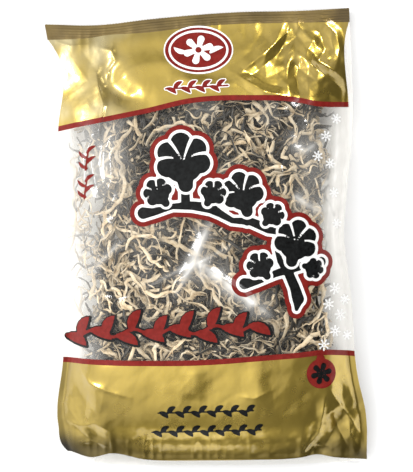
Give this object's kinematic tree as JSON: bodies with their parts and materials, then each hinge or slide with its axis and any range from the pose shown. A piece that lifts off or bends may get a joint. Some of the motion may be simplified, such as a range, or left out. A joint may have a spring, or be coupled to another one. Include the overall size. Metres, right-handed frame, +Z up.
{
  "type": "bag of dried shredded wood ear mushroom",
  "caption": "Sealed clear plastic pouch with gold printed ends and a clear window, filled with dried shredded wood ear mushroom, lying on its back.",
  "frame": {"origin": "centre of the bounding box's bottom, on the surface that the pouch lies on", "axes": "+X across the pouch to its right as the printed face is read, +Y along it from the bottom seal to the top seal, +Z up, out of the printed face"},
  "size_m": [0.2006, 0.2848, 0.0433],
  "materials": {
    "clear_film": "gloss",
    "printed_film": "gloss",
    "mixed_shreds": "matte",
    "pale_shred": "matte",
    "dark_shred": "satin"
  },
  "bodies": {
    "root": {"back_film": "clear_film", "front_film": "printed_film", "packed_shreds": "mixed_shreds", "shred_01": "pale_shred", "shred_02": "dark_shred", "shred_03": "pale_shred", "shred_04": "dark_shred", "shred_05": "pale_shred", "shred_06": "dark_shred", "shred_07": "pale_shred", "shred_08": "dark_shred", "shred_09": "pale_shred", "shred_10": "dark_shred", "shred_11": "pale_shred", "shred_12": "dark_shred", "shred_13": "pale_shred", "shred_14": "dark_shred", "shred_15": "pale_shred", "shred_16": "dark_shred", "shred_17": "pale_shred", "shred_18": "dark_shred", "shred_19": "pale_shred", "shred_20": "dark_shred", "shred_21": "pale_shred", "shred_22": "dark_shred", "shred_23": "pale_shred", "shred_24": "dark_shred", "shred_25": "pale_shred", "shred_26": "dark_shred", "shred_27": "pale_shred", "shred_28": "dark_shred", "shred_29": "pale_shred", "shred_30": "dark_shred", "shred_31": "pale_shred", "shred_32": "dark_shred", "shred_33": "pale_shred", "shred_34": "dark_shred", "shred_35": "pale_shred", "shred_36": "dark_shred", "shred_37": "pale_shred", "shred_38": "dark_shred", "shred_39": "pale_shred", "shred_40": "dark_shred", "shred_41": "pale_shred", "shred_42": "dark_shred", "shred_43": "pale_shred", "shred_44": "dark_shred"}
  },
  "joints": []
}
